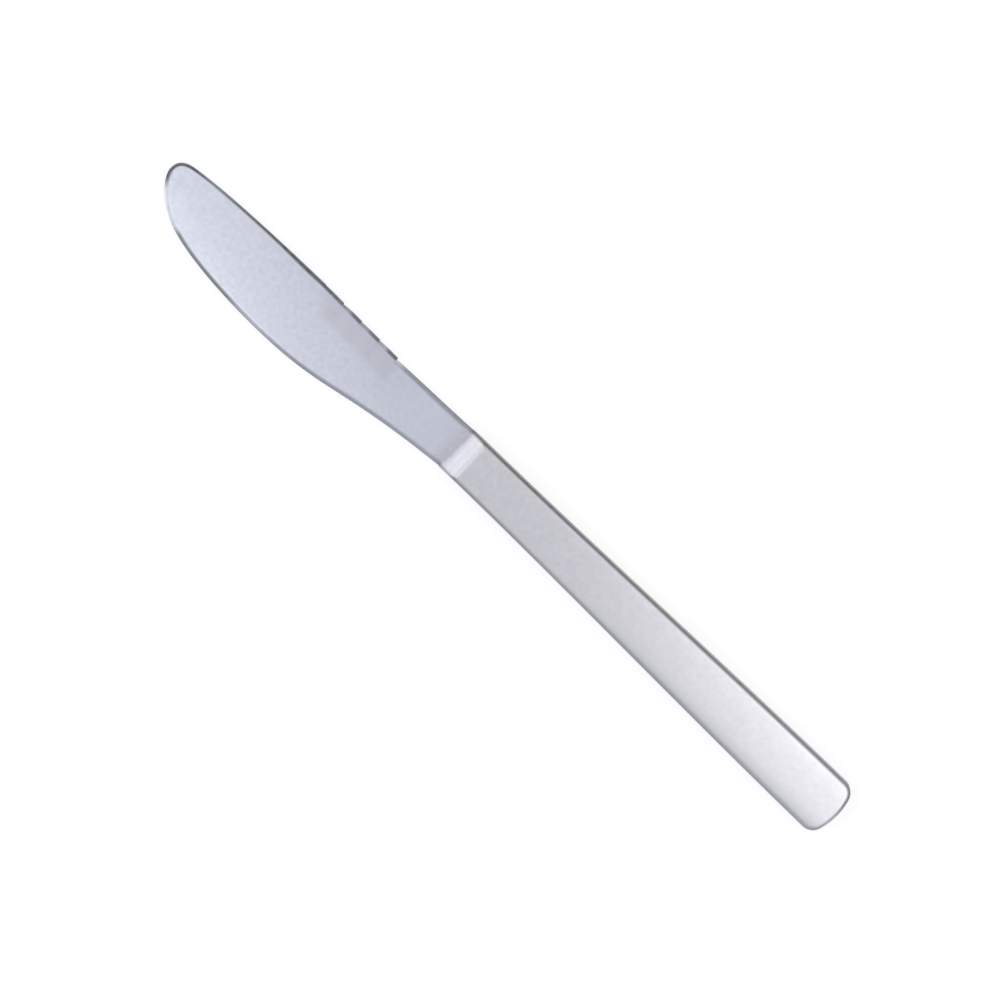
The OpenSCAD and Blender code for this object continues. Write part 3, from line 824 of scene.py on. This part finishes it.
class Nodes:
    """Short calls for building a material's node tree."""

    def __init__(self, name):
        self.material = bpy.data.materials.new(name)
        self.material.use_nodes = True
        self.tree = self.material.node_tree
        self.shader = self.tree.nodes["Principled BSDF"]

    def node(self, kind, **values):
        made = self.tree.nodes.new(kind)
        for key, value in values.items():
            setattr(made, key, value)
        return made

    def link(self, source, target):
        self.tree.links.new(source, target)

    def feed(self, name, source):
        """Links a source to the shader's socket of that name."""
        self.link(source, self.shader.inputs[name])

    def put(self, name, value):
        """Sets the shader's socket of that name, the same all over."""
        self.shader.inputs[name].default_value = value

    def stretched(self, scale=(1, 1, 1)):
        """Object coordinates scaled by axis, so that a grain can run one way."""
        place = self.node("ShaderNodeTexCoord")
        mapping = self.node("ShaderNodeMapping")
        mapping.inputs["Scale"].default_value = scale
        self.link(place.outputs["Object"], mapping.inputs["Vector"])
        return mapping.outputs["Vector"]

    def noise(self, vector, scale, detail, roughness=0.5):
        made = self.node("ShaderNodeTexNoise")
        made.inputs["Scale"].default_value = scale
        made.inputs["Detail"].default_value = detail
        made.inputs["Roughness"].default_value = roughness
        self.link(vector, made.inputs["Vector"])
        return made.outputs["Fac"]

    def span(self, value, low, high, from_low=0.3, from_high=0.7):
        """A noise's usual range spread over another, and held within it."""
        made = self.node("ShaderNodeMapRange")
        made.inputs["From Min"].default_value = from_low
        made.inputs["From Max"].default_value = from_high
        made.inputs["To Min"].default_value = low
        made.inputs["To Max"].default_value = high
        self.link(value, made.inputs["Value"])
        return made.outputs["Result"]

    def math(self, operation, a, b):
        made = self.node("ShaderNodeMath", operation=operation)
        for socket, value in zip(made.inputs, (a, b)):
            if isinstance(value, (int, float)):
                socket.default_value = value
            else:
                self.link(value, socket)
        return made.outputs["Value"]

    def times(self, a, b):
        return self.math("MULTIPLY", a, b)

    def plus(self, a, b):
        return self.math("ADD", a, b)

    def weighed(self, a, b, share):
        return self.plus(self.times(a, share), self.times(b, 1 - share))

    def two_colours(self, share, a, b):
        made = self.node("ShaderNodeMix", data_type="RGBA")
        made.inputs[MIX_FIRST].default_value = (*a, 1)
        made.inputs[MIX_SECOND].default_value = (*b, 1)
        self.link(share, made.inputs[MIX_SHARE])
        return made.outputs[MIX_RESULT]

    def blended(self, share, source, colour):
        made = self.node("ShaderNodeMix", data_type="RGBA")
        made.inputs[MIX_SECOND].default_value = (*colour, 1)
        self.link(share, made.inputs[MIX_SHARE])
        self.link(source, made.inputs[MIX_FIRST])
        return made.outputs[MIX_RESULT]

    def bump(self, height, strength, distance, normal=None):
        made = self.node("ShaderNodeBump")
        made.inputs["Strength"].default_value = strength
        made.inputs["Distance"].default_value = distance
        self.link(height, made.inputs["Height"])
        if normal is not None:
            self.link(normal, made.inputs["Normal"])
        return made.outputs["Normal"]

    def mark(self, name):
        return self.node("ShaderNodeAttribute", attribute_name=name).outputs["Fac"]


def satin_steel(name, light, dark, dull_and_shade, rim):
    """Satin steel: fine lengthwise grain, soft mottling, rubbed ridges, painted shade on the side walls,
    and darker places that are partly painted shade.
    """
    n = Nodes(name)
    long_grain = n.noise(n.stretched(LONG_GRAIN), 1.0, detail=3.0, roughness=0.6)
    short_grain = n.noise(n.stretched(SHORT_GRAIN), 1.0, detail=2.0)
    mottle = n.noise(n.stretched(), MOTTLE_SCALE, detail=2.0, roughness=0.6)
    haze = n.noise(n.stretched(), HAZE_SCALE, detail=2.0)
    grain = n.weighed(long_grain, short_grain, LONG_GRAIN_SHARE)
    blotch = n.weighed(mottle, haze, MOTTLE_SHARE)

    colour = n.two_colours(n.span(blotch, 0, 1), dark, light)
    # Painted shade: the dull mark mixes in a darker colour, partly a duller ground finish, and the rim
    # mark a dark colour on the side walls
    colour = n.blended(n.times(n.mark("dull_and_shade"), n.span(mottle, DULL_AND_SHADE_FLOOR, 1.0)), colour, dull_and_shade)
    colour = n.blended(n.times(n.mark("rim"), n.span(blotch, RIM_SHADE_FLOOR, 1.0)), colour, rim)
    n.feed("Base Color", colour)

    rough = n.span(grain, STEEL_ROUGHNESS - GRAIN_ROUGHNESS, STEEL_ROUGHNESS + GRAIN_ROUGHNESS)
    rough = n.plus(rough, n.span(haze, -HAZE_ROUGHNESS, HAZE_ROUGHNESS))
    rough = n.plus(rough, n.times(n.mark("wear"), WEAR_ROUGHNESS))
    rough = n.plus(rough, n.times(n.mark("rim"), RIM_ROUGHNESS))
    n.feed("Roughness", rough)

    n.put("Metallic", 1.0)
    n.put("Anisotropic", ANISOTROPY)
    over_grain = n.node("ShaderNodeTangent", direction_type="RADIAL", axis="X")
    n.feed("Tangent", over_grain.outputs["Tangent"])
    beneath = n.bump(mottle, strength=0.2, distance=MOTTLE_HEIGHT)
    n.feed("Normal", n.bump(grain, strength=0.3, distance=GRAIN_HEIGHT, normal=beneath))
    return n.material


def dull_braze(name):
    """Silver-gold braze, dressed flush with the steel."""
    n = Nodes(name)
    flow = n.noise(n.stretched(), BRAZE_SCALE, detail=3.0)
    n.feed("Base Color", n.two_colours(n.span(flow, 0, 1), BRAZE_DARK, BRAZE_LIGHT))
    n.feed("Roughness", n.span(flow, *BRAZE_ROUGHNESS))
    n.put("Metallic", 1.0)
    n.feed("Normal", n.bump(flow, strength=0.3, distance=BRAZE_HEIGHT))
    return n.material


def cast_cement(name):
    """Grey mineral filler with sand grains and small pores."""
    n = Nodes(name)
    sand = n.noise(n.stretched(), SAND_SCALE, detail=4.0, roughness=0.7)
    pores = n.node("ShaderNodeTexVoronoi")
    pores.inputs["Scale"].default_value = PORE_SCALE
    n.link(n.stretched(), pores.inputs["Vector"])
    n.feed("Base Color", n.two_colours(n.span(sand, 0, 1), CEMENT_DARK, CEMENT_LIGHT))
    n.put("Roughness", CEMENT_ROUGHNESS)
    grit = n.bump(sand, strength=0.4, distance=SAND_HEIGHT)
    n.feed("Normal", n.bump(pores.outputs["Distance"], strength=0.5, distance=PORE_HEIGHT, normal=grit))
    return n.material


def white_table(name):
    """Plain white, matt table top with a barely visible tooth."""
    n = Nodes(name)
    tooth = n.noise(n.stretched(), FLOOR_SCALE, detail=3.0)
    n.feed("Base Color", n.two_colours(n.span(tooth, 0, 1), FLOOR_DARK, FLOOR_LIGHT))
    n.put("Roughness", 1.0)
    n.put("Specular IOR Level", 0.0)
    path = n.node("ShaderNodeLightPath")
    seen = n.math("MAXIMUM", path.outputs["Is Camera Ray"], path.outputs["Is Glossy Ray"])
    seen = n.math("MAXIMUM", seen, path.outputs["Is Transmission Ray"])
    n.put("Emission Color", (1, 1, 1, 1))
    n.feed("Emission Strength", n.times(seen, FLOOR_LIFT))
    return n.material


# Camera and light

# Camera: the width that it sees, the place that it looks at, its distance and its sensor in
# millimetres, and the knife's turn in the picture and the camera's lean in degrees
PHOTO_WIDTH = 236.9
PHOTO_CENTRE = (-0.79, -1.0, 2.8)
CAMERA_DISTANCE = 900.0
SENSOR = 36.0
KNIFE_ANGLE = 135.97
LEAN = 6.0

# Tints of the room and of the lamp over the handle's end
ROOM_TINT = (0.945, 0.968, 1.03)
END_TINT = (1.0, 0.985, 0.925)

# Room, as pairs of place and level: from the horizon to straight up, and from the edge side to the
# spine side
HEIGHT_STOPS = ((0.0, 0.32), (0.25, 0.42), (0.5, 0.88), (0.75, 1.05), (0.93, 0.77), (1.0, 0.68))
SIDE_STOPS = ((0.0, 0.98), (0.47, 0.93), (0.59, 0.92), (0.78, 0.62), (1.0, 0.85))

# How high most lamps hang, how far the table reaches each way and how far the camera sees, in
# metres, and the table's cells along a side
LAMP_HEIGHT = 0.75
TABLE_REACH = 2.0
CLIP_END = 10
TABLE_CELLS = 8


def photo_camera():
    """A long lens nearly overhead, leaning a little towards the cutting edge."""
    data = bpy.data.cameras.new("photo_camera")
    camera = bpy.data.objects.new("photo_camera", data)
    bpy.context.scene.collection.objects.link(camera)
    bpy.context.scene.camera = camera
    lean = math.radians(LEAN)
    back = Vector((0, -math.sin(lean), math.cos(lean)))
    along = Vector((1, 0, 0))
    beside = back.cross(along)
    turn = math.radians(KNIFE_ANGLE)
    right = along * math.cos(turn) - beside * math.sin(turn)
    up = along * math.sin(turn) + beside * math.cos(turn)
    pose = Matrix((right, up, back)).transposed().to_4x4()
    pose.translation = Vector(PHOTO_CENTRE) * MM + back * CAMERA_DISTANCE * MM
    camera.matrix_world = pose
    data.sensor_width = SENSOR
    data.lens = SENSOR * CAMERA_DISTANCE / PHOTO_WIDTH
    data.clip_end = CLIP_END


def soft_lamp(name, place, size, level, colour=(1, 1, 1), aim=None):
    """A soft box whose face is as bright as level, where 1 is white. It faces down by default."""
    data = bpy.data.lights.new(name, "AREA")
    data.shape = "RECTANGLE"
    data.size, data.size_y = size
    data.energy = level * math.pi * size[0] * size[1]
    data.color = colour
    lamp = bpy.data.objects.new(name, data)
    bpy.context.scene.collection.objects.link(lamp)
    lamp.location = place
    way = Vector(aim or (place[0], place[1], 0)) - Vector(place)
    lamp.rotation_euler = way.to_track_quat("-Z", "Y").to_euler()


def studio_world():
    """A dim room under a bright ceiling that fades towards the knife's spine side, on white."""
    world = bpy.data.worlds.new("studio")
    bpy.context.scene.world = world
    world.use_nodes = True
    nodes, links = world.node_tree.nodes, world.node_tree.links
    back = nodes["Background"]
    place = nodes.new("ShaderNodeTexCoord")
    split = nodes.new("ShaderNodeSeparateXYZ")
    links.new(place.outputs["Generated"], split.inputs[0])

    def ramp(source, stops, tint=(1, 1, 1)):
        made = nodes.new("ShaderNodeValToRGB")
        made.color_ramp.interpolation = "EASE"
        while len(made.color_ramp.elements) < len(stops):
            made.color_ramp.elements.new(0.5)
        for element, (at, level) in zip(made.color_ramp.elements, stops):
            element.position = at
            element.color = (*(level * t for t in tint), 1)
        links.new(source, made.inputs["Fac"])
        return made.outputs["Color"]

    height = ramp(split.outputs["Z"], HEIGHT_STOPS, ROOM_TINT)
    from_edge_side = nodes.new("ShaderNodeMath")
    from_edge_side.operation = "MULTIPLY_ADD"
    from_edge_side.inputs[1].default_value = 0.5
    from_edge_side.inputs[2].default_value = 0.5
    links.new(split.outputs["Y"], from_edge_side.inputs[0])
    side = ramp(from_edge_side.outputs[0], SIDE_STOPS)
    room = nodes.new("ShaderNodeMix")
    room.data_type = "RGBA"
    room.blend_type = "MULTIPLY"
    room.inputs[MIX_SHARE].default_value = 1.0
    links.new(height, room.inputs[MIX_FIRST])
    links.new(side, room.inputs[MIX_SECOND])
    path = nodes.new("ShaderNodeLightPath")
    seen = nodes.new("ShaderNodeMix")
    seen.data_type = "RGBA"
    seen.inputs[MIX_SECOND].default_value = (1, 1, 1, 1)
    links.new(path.outputs["Is Camera Ray"], seen.inputs[MIX_SHARE])
    links.new(room.outputs[MIX_RESULT], seen.inputs[MIX_FIRST])
    links.new(seen.outputs[MIX_RESULT], back.inputs["Color"])
    back.inputs["Strength"].default_value = 1.0


def table_top():
    bm = bmesh.new()
    bmesh.ops.create_grid(bm, x_segments=TABLE_CELLS, y_segments=TABLE_CELLS, size=TABLE_REACH)
    mesh = bpy.data.meshes.new("table_top")
    bm.to_mesh(mesh)
    bm.free()
    floor = bpy.data.objects.new("table_top", mesh)
    bpy.context.scene.collection.objects.link(floor)
    floor.data.materials.append(white_table("white_table"))


# The knife, the table and the studio

blade_steel = satin_steel("blade_steel", BLADE_LIGHT, BLADE_DARK, BLADE_DULL_AND_SHADE, BLADE_RIM_SHADE)
handle_steel = satin_steel("handle_steel", HANDLE_LIGHT, HANDLE_DARK, HANDLE_PAINTED_SHADE, HANDLE_RIM_SHADE)

blade = blade_piece()
blade.data.materials.append(blade_steel)
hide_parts("blade")
for shell_name, node_name, sign in (
    ("upper_half_shell", "handle_shell_upper", 1),
    ("lower_half_shell", "handle_shell_lower", -1),
):
    shell = handle_shell(shell_name, sign)
    shell.data.materials.append(handle_steel)
    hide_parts(node_name)

node_materials = {
    "seam_braze": dull_braze("seam_braze_metal"),
    "neck_braze": dull_braze("neck_braze_metal"),
    "handle_cement": cast_cement("cast_cement"),
}
for node_name, material in node_materials.items():
    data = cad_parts[node_name].data
    data.materials.clear()
    data.materials.append(material)

table_top()
photo_camera()
studio_world()
soft_lamp("end_softbox", (-0.315, -0.155, LAMP_HEIGHT), size=(0.43, 0.54), level=1.11, colour=END_TINT)
soft_lamp("tip_softbox", (0.175, 0.20, LAMP_HEIGHT), size=(0.15, 0.30), level=0.95)
soft_lamp("side_softbox", (0.68, 0.25, LAMP_HEIGHT), size=(0.92, 0.80), level=0.35)
soft_lamp("nose_softbox", (0.46, 0.40, 0.24), size=(0.30, 0.26), level=1.3, aim=(0.1, 0.0, 0))

bpy.context.scene.view_settings.view_transform = "Standard"
